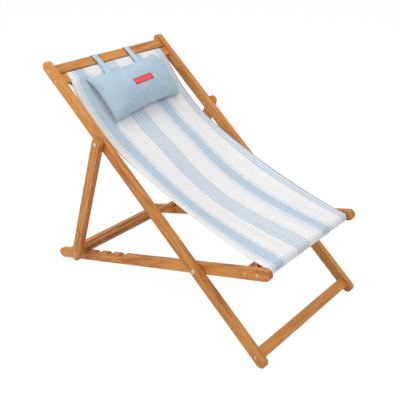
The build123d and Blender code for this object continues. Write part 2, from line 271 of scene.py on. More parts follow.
def turned_pin(head_r, head_h, ease, shank_r, length, reach, deep):
    """A pin along +X: a profile carried round the axis, over the head, under it and down the shank.

    The head is flat with a quarter round at its rim, and sinks to the recess's floor inside its reach.
    """
    angle = np.linspace(0, 2 * math.pi, HEAD_SPOKES + 1)
    flat = np.linspace(0, head_r - ease, HEAD_RINGS)
    rim = np.linspace(0, math.pi / 2, RIM_RINGS)[1:]
    radius = np.concatenate([flat, head_r - ease + ease * np.sin(rim), [head_r, shank_r, shank_r, 0]])
    head = [np.full(HEAD_RINGS, head_h), head_h - ease + ease * np.cos(rim)]
    height = np.concatenate([*head, [0, 0, -length, -length]])
    inside = np.clip((reach(angle) - radius[:, None]) / (RECESS_EDGE * head_r) + 0.5, 0, 1)
    inside[HEAD_RINGS:] = 0
    out = height[:, None] - deep * inside**2 * (3 - 2 * inside)
    return np.stack([out, radius[:, None] * np.cos(angle), radius[:, None] * np.sin(angle)], axis=-1)


def grid_faces(rows, columns):
    """The four corners of every cell in a grid of points that are numbered row by row."""
    number = np.arange(rows * columns).reshape(rows, columns)
    corners = [number[:-1, :-1], number[1:, :-1], number[1:, 1:], number[:-1, 1:]]
    return np.stack(corners, axis=-1).reshape(-1, 4)


def pins(name, node, pin, side_places):
    """One pin through each side of the chair at every place, in place of a CAD node's plain ones."""
    low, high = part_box(node)
    face = high.x - pin[..., 0].max()
    turned = pin * np.array([-1, -1, 1])
    sides = ((pin, face), (turned, -face))
    grids = [grid + np.array([x, *place]) for place in side_places for grid, x in sides]
    rows, columns = pin.shape[:2]
    quads = grid_faces(rows, columns)
    faces = np.concatenate([quads + index * rows * columns for index in range(len(grids))])
    mesh = bpy.data.meshes.new(name)
    mesh.from_pydata(np.concatenate([grid.reshape(-1, 3) for grid in grids]).tolist(), [], faces.tolist())
    sewn = bmesh.new()
    sewn.from_mesh(mesh)
    bmesh.ops.remove_doubles(sewn, verts=sewn.verts, dist=WELD)
    bmesh.ops.recalc_face_normals(sewn, faces=sewn.faces)
    sewn.to_mesh(mesh)
    sewn.free()
    mesh.materials.append(zinc)
    piece = bpy.data.objects.new(name, mesh)
    bpy.context.scene.collection.objects.link(piece)
    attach(piece, next(
        body for body, names in frame["record"]["behaviour"]["bodies"].items() if node in names
    ))
    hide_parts(node)


zinc = zinc_plate("zinc_plate")
finish_nodes(zinc, *[name for name in NODES if name.endswith(("washers", "nuts"))])
screw = turned_pin(SCREW_HEAD_R, SCREW_HEAD_H, SCREW_EASE, SCREW_R, SCREW_LENGTH, cross_reach, CROSS_DEEP)
bolt = turned_pin(BOLT_HEAD_R, BOLT_HEAD_H, BOLT_EASE, BOLT_R, BOLT_LENGTH, hex_reach, HEX_DEEP)
for name, node, slats in (
    ("back_screws", "back_frame_screws", ("top_slat", "upper_sling_bar", "foot_slat")),
    ("seat_screws", "seat_frame_screws", ("front_sling_bar", "front_slat", "rear_slat")),
    ("crossbar_screws", "prop_screws", ("prop_crossbar",)),
):
    pins(name, node, screw, [middle(slat) for slat in slats])
pins("seat_bolts", "seat_pivot_bolts", bolt, [seat_pivot])
pins("prop_bolts", "prop_pivot_bolts", bolt, [prop_pivot])


# Sling.
# One length of cotton canvas, off-white with light blue lengthwise stripes.
# Its long edges are hemmed, and each end is sewn into a sleeve round a bar.
SLAT_W, SLAT_T, SLAT_EASE = 0.037, 0.018, 0.004
CANVAS_T = 0.0009
UPPER_ROOM, SLEEVE_ROOM = 0.0009, 0.0018    # cloth to the bar inside the upper and the front sleeve
FRONT_SLACK, FRONT_DROOP = 0.005, 0.004     # extra room in the front sleeve, ahead of the bar and under it
SLEEVE_BEND = 0.0075        # how tightly the front sleeve turns
NOSE_LEAD = 0.012           # where the cloth begins to turn over the front bar
FRONT_SEAM, UPPER_SEAM = 0.046, 0.034       # each sleeve's seam from the edge of its bar, along the cloth
SEAM_ALLOWANCE, TUCK = 0.010, 0.0011        # cloth beyond a seam, and how far it lies under the sling
SLING_CROSS_AT = 0.435      # up the back rails, where the cloth passes through their plane
SEAT_SAG = 0.018
SLING_HALF = 0.2335
SLING_FLARE, SLING_SHIFT = 0.0095, 0.001    # more half width at the top, and how far off the middle
SLEEVE_PULL, PULL_REACH = 0.009, 0.025      # how much narrower it is at the upper bar, and how far down
HEM_W, HEM_DROP, HEM_FOLD = 0.012, 0.0013, 0.0005
HEM_STITCH = 0.002          # row of stitches from the hem's inner edge
SEAT_BELLY, BACK_BELLY = 0.030, 0.004       # the middle of the cloth hangs this much lower than its edges
BELLY_LEAN, BELLY_POWER = 1.2, 1.1          # the seat's belly is deepest a little behind its middle
GATHER_DEEP, GATHER_REACH, GATHER_PITCH = 0.0012, 0.09, 0.058
CANVAS_STEP, SLEEVE_STEP, BEND_STEP = 0.005, 0.002, 0.0015      # between points on the cloth
TINY_GAP = 1e-7             # points closer than this count as one
STRIPE_PERIOD, STRIPE_MIDDLE = 0.2755, -0.042
BLUE_BAND, SIDE_LINE_AT, SIDE_LINE = 0.041, 0.0285, 0.0024
STRIPE_EDGE, SIDE_LINE_SHARE = 0.0006, 0.75     # softness of an edge, and how blue the thin lines are
FINE_LINES, FINE_PITCH, FINE_GROUND = 6, 0.0118, 0.22      # with a faint blue ground among the lines
FINE_FULL = -0.45           # level of the lines' wave below which they are fully blue
CANVAS_WHITE = (0.82, 0.82, 0.82)
CANVAS_BLUE = (0.49, 0.60, 0.70)
CANVAS_LINE = (0.43, 0.54, 0.66)
THREAD_WHITE = (0.88, 0.88, 0.87)
STITCH_PITCH, THREAD_CORE, THREAD_EDGE = 0.0032, 0.0003, 0.0008     # a row's dashes and its half widths
STITCH_GAP = -0.6           # level of the dashes' wave below which no thread shows
THREAD_SHARE, THREAD_RAISE = 0.7, 4.0       # how clearly stitches show, and their height over the weave's
CANVAS_THREAD = 0.0012      # one wave of the weave
SLUB_FINE, SLUB_LONG, SLUB_RAISE = 900, 30, 1.5     # uneven threads: scale across and along them, height
SLUB_DARK, SLUB_PALE = 0.93, 1.05
CANVAS_ROUGH, CANVAS_SHEEN, CANVAS_SPECULAR = 0.9, 0.15, 0.25
WEAVE_STRENGTH, WEAVE_DEPTH = 0.3, 0.0003
off_back = np.array([-up_back[1], up_back[0]])
off_seat = np.array([-along_seat[1], along_seat[0]])


def arc_points(centre, radius, start, end, step):
    """Points on a circle from one angle to another, about one step apart."""
    count = max(2, int(abs(end - start) * radius / step) + 1)
    angle = np.linspace(start, end, count)
    return centre + radius * np.stack([np.cos(angle), np.sin(angle)], axis=1)


def arc_through(first, second, tangent):
    """Centre, radius, start and end angle of the arc from first, along tangent there, to second."""
    normal = np.array([-tangent[1], tangent[0]])
    chord = second - first
    reach = chord @ chord / (2 * chord @ normal)
    centre = first + reach * normal
    start = angle_of(first - centre)
    sweep = 2 * math.atan2(chord @ normal, chord @ tangent)
    return centre, abs(reach), start, start + sweep


def rounded_run(corners, radius, step):
    """A chain of straight runs with each corner rounded off to one radius."""
    points = [corners[:1]]
    for before, corner, after in zip(corners[:-2], corners[1:-1], corners[2:]):
        way_in, way_out = unit(corner - before), unit(after - corner)
        turn = math.atan2(way_in[0] * way_out[1] - way_in[1] * way_out[0], way_in @ way_out)
        start = corner - way_in * radius * math.tan(abs(turn) / 2)
        side = math.copysign(1, turn) * np.array([-way_in[1], way_in[0]])
        centre = start + radius * side
        first = angle_of(start - centre)
        points.append(arc_points(centre, radius, first, first + turn, step))
    points.append(corners[-1:])
    return np.concatenate(points)


def evenly(points, step):
    """The same line with its points about one step apart, and the distance along it of each."""
    gaps = np.linalg.norm(np.diff(points, axis=0), axis=1)
    keep = np.concatenate([[True], gaps > TINY_GAP])
    points = points[keep]
    distance = np.concatenate([[0], np.cumsum(np.linalg.norm(np.diff(points, axis=0), axis=1))])
    along = np.linspace(0, distance[-1], int(distance[-1] / step) + 1)
    return np.stack([np.interp(along, distance, column) for column in points.T], axis=1), along


def in_frame(origin, along, off, places):
    """Places given along and square to a frame, as they lie in the side view."""
    places = np.asarray(places, float)
    return origin + places[:, :1] * along + places[:, 1:] * off


def grid_mesh(name, points, uv=None):
    """A sheet of quads through a grid of points, with an optional place on the cloth for each point."""
    faces = grid_faces(*points.shape[:2])
    mesh = bpy.data.meshes.new(name)
    mesh.from_pydata(points.reshape(-1, 3).tolist(), [], faces.tolist())
    if uv is not None:
        layer = mesh.uv_layers.new(name="cloth")
        layer.data.foreach_set("uv", uv.reshape(-1, 2)[faces.ravel()].astype(np.float32).ravel())
    mesh.polygons.foreach_set("use_smooth", np.ones(len(faces), bool))
    piece = bpy.data.objects.new(name, mesh)
    bpy.context.scene.collection.objects.link(piece)
    return piece


def thicken(piece, name, thickness):
    """Give a sheet its thickness, half to either side."""
    solid = piece.modifiers.new(name, "SOLIDIFY")
    solid.thickness = thickness
    solid.offset = 0


# The hanging part is two arcs that meet in the plane of the back rails.
# Each sleeve closes on a seam under it.
sleeve_w = SLAT_W / 2 + SLEEVE_ROOM
sleeve_t = SLAT_T / 2 + SLEEVE_ROOM
slat_flat = SLAT_W / 2 - SLAT_EASE
upper_bar, front_bar = middle("upper_sling_bar"), middle("front_sling_bar")
upper_w, upper_t = SLAT_W / 2 + UPPER_ROOM, SLAT_T / 2 + UPPER_ROOM
sling_top = in_frame(upper_bar, up_back, off_back, [(-slat_flat, upper_t)])[0]
sling_cross = seat_pivot + SLING_CROSS_AT * up_back
sling_front = in_frame(front_bar, along_seat, off_seat, [(-slat_flat - FRONT_SLACK, sleeve_t)])[0]
seat_run = sling_cross - sling_front
sag_turn = 2 * math.atan2(2 * SEAT_SAG, np.linalg.norm(seat_run))
cross_slope = angle_of(seat_run) + sag_turn
cross_way = np.array([math.cos(cross_slope), math.sin(cross_slope)])
back_arc = arc_through(sling_cross, sling_top, cross_way)
seat_arc = arc_through(sling_cross, sling_front, -cross_way)


def outward(line):
    """Normals of a line that runs down the chair, on the sitter's side."""
    slope = np.gradient(line, axis=0)
    slope /= np.linalg.norm(slope, axis=1, keepdims=True)
    return np.stack([slope[:, 1], -slope[:, 0]], axis=1)


hanging = [arc_points(*back_arc, CANVAS_STEP)[::-1], arc_points(*seat_arc, CANVAS_STEP)]
hanging_line, hanging_at = evenly(np.concatenate(hanging), CANVAS_STEP)
cross_share = back_arc[1] * abs(back_arc[3] - back_arc[2]) / hanging_at[-1]
hanging_under = hanging_line - TUCK * outward(hanging_line)


def under_sling(at):
    """A place just under the hanging cloth, at a distance along it from the upper bar."""
    return [np.interp(at, hanging_at, column) for column in hanging_under.T]


upper_ends = [under_sling(UPPER_SEAM + SEAM_ALLOWANCE), under_sling(UPPER_SEAM)]
upper_wrap = in_frame(upper_bar, up_back, off_back, [
    (-upper_w, -upper_t), (upper_w, -upper_t), (upper_w, upper_t), (-slat_flat, upper_t),
])
upper_route = np.concatenate([upper_ends, upper_wrap])
upper_line, upper_at = evenly(rounded_run(upper_route, SLAT_EASE + UPPER_ROOM, BEND_STEP), SLEEVE_STEP)
front_edge, front_low = -sleeve_w - FRONT_SLACK, -sleeve_t - FRONT_DROOP
front_wrap = in_frame(front_bar, along_seat, off_seat, [
    (-slat_flat - FRONT_SLACK, sleeve_t), (front_edge, sleeve_t),
    (front_edge, front_low), (sleeve_w, front_low),
])
front_ends = [under_sling(hanging_at[-1] - FRONT_SEAM - extra) for extra in (0, SEAM_ALLOWANCE)]
before_nose = hanging_at < hanging_at[-1] - NOSE_LEAD
hanging_line, hanging_at = hanging_line[before_nose], hanging_at[before_nose]
front_route = np.concatenate([hanging_line[-1:], front_wrap, front_ends])
front_line, front_at = evenly(rounded_run(front_route, SLEEVE_BEND, BEND_STEP), SLEEVE_STEP)
sling_line = np.concatenate([upper_line[:-1], hanging_line, front_line[1:]])
front_start = upper_at[-1] + hanging_at[-1]
sling_at = np.concatenate([upper_at[:-1], upper_at[-1] + hanging_at, front_start + front_at[1:]])
sling_length = sling_at[-1]
upper_seam_at, front_seam_at = SEAM_ALLOWANCE, sling_length - SEAM_ALLOWANCE


def sling_sink():
    """How far, and which way, each point of the cloth hangs below the side line.

    The seat has a belly that is deepest in the middle, and soft gathers die away from the bars.
    The loose end of each sleeve follows the cloth that it is sewn to.
    """
    share = np.linspace(-1, 1, int(2 * SLING_HALF / CANVAS_STEP) + 1)
    run = hanging_at[-1] + NOSE_LEAD
    hang = np.clip((sling_at - upper_at[-1]) / run, 0, 1)
    to_front = np.clip((1 - hang) / (1 - cross_share), 0, 1)
    belly = SEAT_BELLY * np.sin(math.pi * to_front**BELLY_LEAN) ** BELLY_POWER
    belly += BACK_BELLY * np.sin(math.pi * hang) ** 2
    from_bar = np.minimum(hang, 1 - hang) * run
    gather = GATHER_DEEP * from_bar / GATHER_REACH * np.exp(1 - from_bar / GATHER_REACH)
    ripple = 1 + np.sin(2 * math.pi * share * SLING_HALF / GATHER_PITCH + 3 * share)
    sink = belly[:, None] * (1 - share**2) + gather[:, None] * ripple
    way = outward(sling_line)

    upper_rows = np.arange(len(upper_line) - 1)
    front_rows = np.arange(len(sling_line) - len(front_line) + 1, len(sling_line))
    upper_sewn = np.argmin(np.abs(sling_at - upper_at[-1] - UPPER_SEAM))
    front_sewn = np.argmin(np.abs(sling_at - upper_at[-1] - run + FRONT_SEAM))
    slack = np.linalg.norm(front_ends[0] - front_wrap[-1])
    follow = np.clip(1 - (upper_at[:-1] - upper_seam_at) / slack, 0, 1)
    sink[upper_rows], way[upper_rows] = follow[:, None] * sink[upper_sewn], way[upper_sewn]
    follow = np.clip(1 - (front_seam_at - sling_at[front_rows]) / slack, 0, 1)
    sink[front_rows], way[front_rows] = follow[:, None] * sink[front_sewn], way[front_sewn]
    return share, hang, sink, way


def sling_grid():
    """The side line carried across the chair, wider at the top, with both edges folded under as hems."""
    share, hang, sink, way = sling_sink()
    half = SLING_HALF + SLING_FLARE * (1 - hang) ** 2
    half -= SLEEVE_PULL * np.exp(-hang * hanging_at[-1] / PULL_REACH)
    edge = np.array([HEM_W, HEM_FOLD, 0.0]) / SLING_HALF
    across = np.concatenate([-1 + edge, share[1:-1], 1 - edge[::-1]])
    worn = np.concatenate([-1 - edge, share[1:-1], 1 + edge[::-1]]) * SLING_HALF
    fold = np.zeros_like(across)
    fold[:3] = HEM_DROP * np.array([1, 1, 0.5])
    fold[-3:] = fold[:3][::-1]
    sink = np.stack([np.interp(across, share, row) for row in sink])
    grid = np.empty((len(sling_line), len(across), 3))
    grid[..., 0] = SLING_SHIFT + half[:, None] * across
    grid[..., 1:] = sling_line[:, None] - sink[..., None] * way[:, None]
    grid[..., 1:] -= fold[:, None] * outward(sling_line)[:, None]
    uv = np.stack(np.broadcast_arrays(worn, sling_at[:, None]), axis=-1)
    return grid, uv


def weave(tree, cloth_place, pitch):
    """Height of a plain weave: threads over and under each other, as the product of two waves."""
    parts = add(tree, "SeparateXYZ", {0: cloth_place})
    turns = 2 * math.pi / pitch
    warp = math_node(tree, "SINE", math_node(tree, "MULTIPLY", parts.outputs[0], turns))
    weft = math_node(tree, "SINE", math_node(tree, "MULTIPLY", parts.outputs[1], turns))
    return math_node(tree, "MULTIPLY", warp, weft)


def stitches(tree, from_row, along):
    """A row of thread: dashes along one measure where the other is near zero."""
    row = smooth_step(tree, math_node(tree, "ABSOLUTE", from_row), THREAD_CORE, THREAD_EDGE, 1.0, 0.0)
    wave = math_node(tree, "SINE", math_node(tree, "MULTIPLY", along, 2 * math.pi / STITCH_PITCH))
    return math_node(tree, "MULTIPLY", row, smooth_step(tree, wave, STITCH_GAP, 0.0))


def cloth_noise(tree, place, wide, long):
    """Noise on the cloth, with its fineness across and along it."""
    scaled = add(tree, "Mapping", {"Vector": place, "Scale": (wide, long, 1)}).outputs[0]
    return noise(tree, scaled, 1.0, 2)


def cloth_surface(name, colour_of, pitch, seams_of=None):
    """Woven cloth: a colour worked out on its map, uneven threads, stitches, and the weave as a bump."""
    material, tree, shader = new_surface(name)
    place = add(tree, "UVMap", uv_map="cloth").outputs["UV"]
    slub_long = cloth_noise(tree, place, SLUB_FINE, SLUB_LONG)
    slub_wide = cloth_noise(tree, place, SLUB_LONG, SLUB_FINE)
    uneven = math_node(tree, "ADD", slub_long, slub_wide)
    shade = smooth_step(tree, uneven, 0.6, 1.4, SLUB_DARK, SLUB_PALE)
    colour = tint(tree, colour_of(tree, place), shade)
    height = math_node(tree, "MULTIPLY_ADD", uneven, SLUB_RAISE, weave(tree, place, pitch))
    if seams_of:
        sewn = seams_of(tree, place)
        colour = mix_colour(tree, math_node(tree, "MULTIPLY", sewn, THREAD_SHARE), colour, THREAD_WHITE)
        height = math_node(tree, "MULTIPLY_ADD", sewn, THREAD_RAISE, height)
    feed(tree, shader.inputs["Base Color"], colour)
    shader.inputs["Roughness"].default_value = CANVAS_ROUGH
    shader.inputs["Sheen Weight"].default_value = CANVAS_SHEEN
    shader.inputs["Specular IOR Level"].default_value = CANVAS_SPECULAR
    bump = add(tree, "Bump", {"Height": height, "Strength": WEAVE_STRENGTH, "Distance": WEAVE_DEPTH})
    feed(tree, shader.inputs["Normal"], bump.outputs["Normal"])
    return material


def stripe_colour(tree, place):
    """Stripes in turn: a blue band between two thin lines, white, a group of fine blue lines, white."""
    def within(distance, half, most=1.0):
        return smooth_step(tree, distance, half - STRIPE_EDGE, half + STRIPE_EDGE, most, 0.0)

    across = add(tree, "SeparateXYZ", {0: place}).outputs[0]
    turn = math_node(tree, "DIVIDE", math_node(tree, "SUBTRACT", across, STRIPE_MIDDLE), STRIPE_PERIOD)
    turn = math_node(tree, "SUBTRACT", turn, math_node(tree, "ROUND", turn))
    away = math_node(tree, "MULTIPLY", math_node(tree, "ABSOLUTE", turn), STRIPE_PERIOD)
    from_band = math_node(tree, "SUBTRACT", STRIPE_PERIOD / 2, away)
    band = within(from_band, BLUE_BAND / 2)
    beside = math_node(tree, "ABSOLUTE", math_node(tree, "SUBTRACT", from_band, SIDE_LINE_AT))
    beside = within(beside, SIDE_LINE, SIDE_LINE_SHARE)
    wave = math_node(tree, "COSINE", math_node(tree, "MULTIPLY", away, 2 * math.pi / FINE_PITCH))
    lines = smooth_step(tree, wave, 0.0, FINE_FULL)
    among = within(away, FINE_LINES * FINE_PITCH / 2)
    lines = math_node(tree, "MULTIPLY", lines, among)
    colour = mix_colour(tree, beside, CANVAS_WHITE, CANVAS_BLUE)
    colour = mix_colour(tree, math_node(tree, "MULTIPLY", among, FINE_GROUND), colour, CANVAS_BLUE)
    colour = mix_colour(tree, lines, colour, CANVAS_LINE)
    return mix_colour(tree, band, colour, CANVAS_BLUE)


def sling_seams(tree, place):
    """Stitches along both hems, and across the cloth at each sleeve's seam."""
    parts = add(tree, "SeparateXYZ", {0: place})
    across, along = parts.outputs[0], parts.outputs[1]
    hem_row = SLING_HALF - HEM_W + HEM_STITCH
    from_hem = math_node(tree, "SUBTRACT", math_node(tree, "ABSOLUTE", across), hem_row)
    rows = stitches(tree, from_hem, along)
    upper_spots = (upper_seam_at, upper_at[-1] + UPPER_SEAM)
    front_spots = (front_seam_at, front_start + NOSE_LEAD - FRONT_SEAM)
    for spot in upper_spots + front_spots:
        row = stitches(tree, math_node(tree, "SUBTRACT", along, float(spot)), across)
        rows = math_node(tree, "MAXIMUM", rows, row)
    return rows


sling = grid_mesh("sling_canvas", *sling_grid())
sling.data.materials.append(cloth_surface("striped_canvas", stripe_colour, CANVAS_THREAD, sling_seams))
thicken(sling, "canvas_thickness", CANVAS_T)
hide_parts("sling")
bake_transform(sling)


# Head pillow.
# Two panels of plain light blue canvas, sewn round the edge, turned and stuffed.
# The seams pull in between the corners, which stay as small ears. It lies on the sling a little askew.
PILLOW_L, PILLOW_H = 0.354, 0.190
PILLOW_DRAW = 0.007         # how far each seam pulls in at its middle
PILLOW_CROWN = 0.074        # top above the sling
CORNER_UP, CORNER_TILT = 0.009, -0.004      # corners above the sling, and less of it at the upper edge
END_RISE, SIDE_RISE = 0.021, 0.0165         # how far the seams rise between the corners
SIDE_TILT = -0.006          # the upper long side rises less, and the lower one more
PILLOW_UNDER = 0.045        # underside from the seam, before the stuffing
PILLOW_PLUMP = 0.50         # lower is fuller near the seams
PILLOW_REST, PILLOW_FLATTEN = 0.001, 0.004  # underside off the sling, and how softly it flattens
PILLOW_AT, PILLOW_SIDEWAYS, PILLOW_TURN = 0.689, 0.005, math.radians(4.0)
PILLOW_CELL = 0.005
PILLOW_CREASE = 0.6         # sharpness of the seam
PILLOW_EASE = 0.008         # share by which the panels are cut larger
STUFFING_PRESSURE, STUFFING_FRAMES = 4.0, 20
PILLOW_BLUE = (0.425, 0.565, 0.670)
PILLOW_THREAD = 0.001       # one wave of the weave
PILLOW_PATCH, PILLOW_DYE = 14, (0.96, 1.03)     # fineness of the dye's patches, and their shades
arc_centre, arc_radius = back_arc[0], back_arc[1]
along_centre = PILLOW_AT - (arc_centre - seat_pivot) @ up_back
pillow_ray = angle_of(along_centre * up_back - math.sqrt(arc_radius**2 - along_centre**2) * off_back)


def seam_outline(across, along):
    """Places on a panel from shares of its half sizes: each side pulls in as a shallow parabola."""
    x = across * (PILLOW_L / 2 - PILLOW_DRAW * (1 - along**2))
    y = along * (PILLOW_H / 2 - PILLOW_DRAW * (1 - across**2))
    return x, y


def seam_height(across, along):
    """Height of the seam above the sling: low at the corners and higher between them."""
    ends = END_RISE * (1 - along**2) * across**2
    sides = (SIDE_RISE + SIDE_TILT * along) * (1 - across**2) * along**2
    return CORNER_UP + CORNER_TILT * along + ends + sides


def pillow_panels():
    """Top and bottom panels on a grid, with one seam: a dome that is a power of both edges' distances."""
    columns = int(PILLOW_L / PILLOW_CELL) + 1
    rows = int(PILLOW_H / PILLOW_CELL) + 1
    along, across = np.meshgrid(np.linspace(-1, 1, rows), np.linspace(-1, 1, columns), indexing="ij")
    swell = ((1 - along**2) * (1 - across**4)) ** PILLOW_PLUMP
    x, y = seam_outline(across, along)
    seam = seam_height(across, along)
    top = seam + (PILLOW_CROWN - seam) * swell
    return np.stack([x, y, top], axis=-1), np.stack([x, y, seam - PILLOW_UNDER * swell], axis=-1)


def closed_pillow(name, top, bottom):
    """Sew both panels into one closed mesh: the bottom's edge points are the top's."""
    rows, columns = top.shape[:2]
    number = np.arange(rows * columns).reshape(rows, columns)
    inner = np.full((rows, columns), -1)
    inner[1:-1, 1:-1] = number.size + np.arange((rows - 2) * (columns - 2)).reshape(rows - 2, columns - 2)
    under = np.where(inner < 0, number, inner)
    cells = [[n[:-1, :-1], n[:-1, 1:], n[1:, 1:], n[1:, :-1]] for n in (number, under)]
    upper, lower = [np.stack(cell, axis=-1).reshape(-1, 4) for cell in cells]
    faces = np.concatenate([upper, lower[:, ::-1]])
    points = np.concatenate([top.reshape(-1, 3), bottom[1:-1, 1:-1].reshape(-1, 3)])
    mesh = bpy.data.meshes.new(name)
    mesh.from_pydata(points.tolist(), [], faces.tolist())
    mesh.polygons.foreach_set("use_smooth", np.ones(len(faces), bool))
    piece = bpy.data.objects.new(name, mesh)
    bpy.context.scene.collection.objects.link(piece)
    return piece


def points_of(mesh):
    """All vertices of a mesh as rows of x, y and z."""
    points = np.empty(len(mesh.vertices) * 3, np.float32)
    mesh.vertices.foreach_get("co", points)
    return points.reshape(-1, 3).astype(float)


def stuff(piece):
    """Blow the sewn panels up as cloth, with no gravity and the seam held, and keep the last shape."""
    seam = piece.vertex_groups.new(name="seam")
    seam.add(pillow_seam.tolist(), 1.0, "REPLACE")
    cloth = piece.modifiers.new("stuffing", "CLOTH")
    cloth.settings.quality = 8
    cloth.settings.mass = 0.25
    cloth.settings.tension_stiffness = 30
    cloth.settings.compression_stiffness = 30
    cloth.settings.shear_stiffness = 10
    cloth.settings.bending_stiffness = 0.4
    cloth.settings.vertex_group_mass = "seam"
    cloth.settings.shrink_min = -PILLOW_EASE
    cloth.settings.use_pressure = True
    cloth.settings.uniform_pressure_force = STUFFING_PRESSURE
    cloth.settings.effector_weights.gravity = 0
    cloth.point_cache.frame_start = 1
    cloth.point_cache.frame_end = STUFFING_FRAMES
    scene = bpy.context.scene
    for number in range(1, STUFFING_FRAMES + 1):
        scene.frame_set(number)
    swollen = piece.evaluated_get(bpy.context.evaluated_depsgraph_get())
    shape = points_of(swollen.data)
    piece.modifiers.remove(cloth)
    piece.vertex_groups.remove(seam)
    scene.frame_set(1)
    return shape


def on_sling(x, y, height):
    """Places on the sling's arc: y becomes a turn about the arc's centre, and height a smaller radius."""
    turned_x = PILLOW_SIDEWAYS + x * math.cos(PILLOW_TURN) - y * math.sin(PILLOW_TURN)
    turned_y = x * math.sin(PILLOW_TURN) + y * math.cos(PILLOW_TURN)
    ray = pillow_ray + turned_y / arc_radius
    reach = arc_radius - height
    y, z = arc_centre[0] + reach * np.cos(ray), arc_centre[1] + reach * np.sin(ray)
    return np.stack([turned_x, y, z], axis=-1)


def lay_on_sling(points):
    """Scale a stuffed shape to its crown, and flatten its underside on the sling with a soft maximum."""
    above = points[:, 2] * PILLOW_CROWN / points[:, 2].max() - PILLOW_REST
    height = PILLOW_REST + 0.5 * (above + np.sqrt(above**2 + PILLOW_FLATTEN**2))
    return on_sling(points[:, 0], points[:, 1], height)


def dyed(tree, place, colour, patch, darkest, palest):
    """A colour that the dye leaves faintly patchy."""
    patches = cloth_noise(tree, place, patch, patch)
    return tint(tree, colour, smooth_step(tree, patches, 0.3, 0.7, darkest, palest))


def plain_blue(tree, place):
    """The pillow's light blue."""
    return dyed(tree, place, PILLOW_BLUE, PILLOW_PATCH, *PILLOW_DYE)


def set_uv(mesh, flat):
    """Write each point's place on the flat cloth as the mesh's cloth map."""
    corners = np.empty(len(mesh.loops), np.int32)
    mesh.loops.foreach_get("vertex_index", corners)
    layer = mesh.uv_layers.new(name="cloth")
    layer.data.foreach_set("uv", flat[corners].astype(np.float32).ravel())


pillow_top, pillow_bottom = pillow_panels()
panel_shape = pillow_top.shape[:2]
panel_edge = np.ones(panel_shape, bool)
panel_edge[1:-1, 1:-1] = False
pillow_seam = np.flatnonzero(panel_edge)
pillow = closed_pillow("pillow_cover", pillow_top, pillow_bottom)
pillow_start = points_of(pillow.data)
pillow_shape = lay_on_sling(stuff(pillow))
pillow.data.vertices.foreach_set("co", pillow_shape.astype(np.float32).ravel())
set_uv(pillow.data, pillow_start[:, :2])
pillow.data.update()
ends = np.empty(len(pillow.data.edges) * 2, np.int32)
pillow.data.edges.foreach_get("vertices", ends)
on_seam = np.isin(ends.reshape(-1, 2), pillow_seam).all(axis=1)
crease = pillow.data.attributes.new("crease_edge", "FLOAT", "EDGE")
crease.data.foreach_set("value", np.where(on_seam, PILLOW_CREASE, 0).astype(np.float32))
pillow_canvas = cloth_surface("pillow_canvas", plain_blue, PILLOW_THREAD)
pillow.data.materials.append(pillow_canvas)
finer = pillow.modifiers.new("finer", "SUBSURF")
finer.levels = 1
finer.render_levels = 1
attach(pillow, "back_frame")
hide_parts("pillow")


# Pillow straps.
# Two bands of paler canvas, hemmed along both edges and sewn into the pillow's upper seam.
# Each runs up to the top slat, goes round it and comes back under itself to the same seam.
STRAP_W, STRAP_T, STRAP_ROOM = 0.0235, 0.0011, 0.0012
STRAP_STEP, STRAP_BEND_STEP, STRAP_COLUMNS = 0.003, 0.001, 9
STRAP_SHIFT = 0.0015        # both lie a little towards the sitter's left
STRAP_SEWN = 0.008          # length of strap inside the pillow
STRAP_LIFT = 0.001          # strap above the seam
STRAP_BOW = 0.006           # how far it stands off the slat's lower edge
STRAP_BACK = 0.002          # where the returning run turns, in front of the slat
STRAP_APART = 0.0016        # from one run to the other at the seam
STRAP_HEM = 0.003           # rows of stitches from the edges
STRAP_ROWS = (0.003, 0.007)     # rows of stitches across it, from the pillow's seam
STRAP_BLUE = (0.47, 0.635, 0.745)
STRAP_PATCH, STRAP_DYE = 40, (0.95, 1.04)
top_slat = middle("top_slat")


def strap_line(across):
    """Side line of a strap: from the pillow's seam, over the top slat, round it and back to the seam."""
    wide = SLAT_W / 2 + STRAP_ROOM
    deep = SLAT_T / 2 + STRAP_ROOM
    share = across / (PILLOW_L / 2)
    seam_y = PILLOW_H / 2 - PILLOW_DRAW * (1 - share**2) - STRAP_SEWN
    lift = seam_height(share, 1) + STRAP_LIFT
    seams = [on_sling(across, seam_y, height)[None, 1:] for height in (lift, lift - STRAP_APART)]
    front = deep + STRAP_T
    loop = in_frame(top_slat, up_back, off_back, [
        (-wide, front + STRAP_BOW), (wide, front),
        (wide, -deep), (-wide, -deep), (-wide, deep + STRAP_BACK),
    ])
    route = np.concatenate([seams[0], loop, seams[1]])
    return evenly(rounded_run(route, SLAT_EASE + STRAP_ROOM, STRAP_BEND_STEP), STRAP_STEP)


def plain_pale_blue(tree, place):
    """The straps' paler blue."""
    return dyed(tree, place, STRAP_BLUE, STRAP_PATCH, *STRAP_DYE)


def strap_seams(tree, place):
    """A row of stitches inside each edge, and two rows across where the strap is sewn to the pillow."""
    parts = add(tree, "SeparateXYZ", {0: place})
    across, along = parts.outputs[0], parts.outputs[1]
    from_edge = math_node(tree, "SUBTRACT", math_node(tree, "ABSOLUTE", across), STRAP_W / 2 - STRAP_HEM)
    rows = stitches(tree, from_edge, along)
    for spot in STRAP_ROWS:
        row = stitches(tree, math_node(tree, "SUBTRACT", along, STRAP_SEWN + spot), across)
        rows = math_node(tree, "MAXIMUM", rows, row)
    return rows


